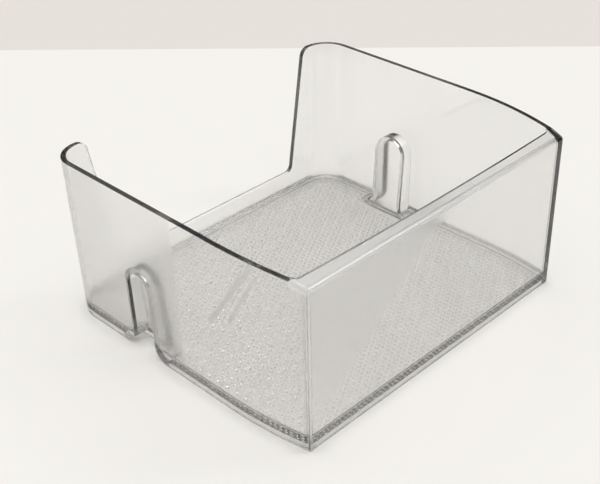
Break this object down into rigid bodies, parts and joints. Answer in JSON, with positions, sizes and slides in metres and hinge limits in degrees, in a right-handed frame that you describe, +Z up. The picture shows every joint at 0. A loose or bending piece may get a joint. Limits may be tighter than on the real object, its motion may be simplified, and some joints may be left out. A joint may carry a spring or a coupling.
{
  "type": "refrigerator door shelf bin",
  "caption": "Clear moulded bin that hangs inside a refrigerator door: tall front wall with an inward rim, low rear wall between raised ears, and a lug pocket in each side wall.",
  "frame": {"origin": "middle of the bin's width and depth, on the plane it rests on", "axes": "+X across the bin's width, +Y from the front wall to the rear wall, +Z up"},
  "size_m": [0.215, 0.187, 0.1],
  "materials": {
    "clear_plastic": "clear moulded plastic, frosted on the rear half of the side walls"
  },
  "bodies": {
    "root": {"door_shelf": "clear_plastic"}
  },
  "joints": []
}
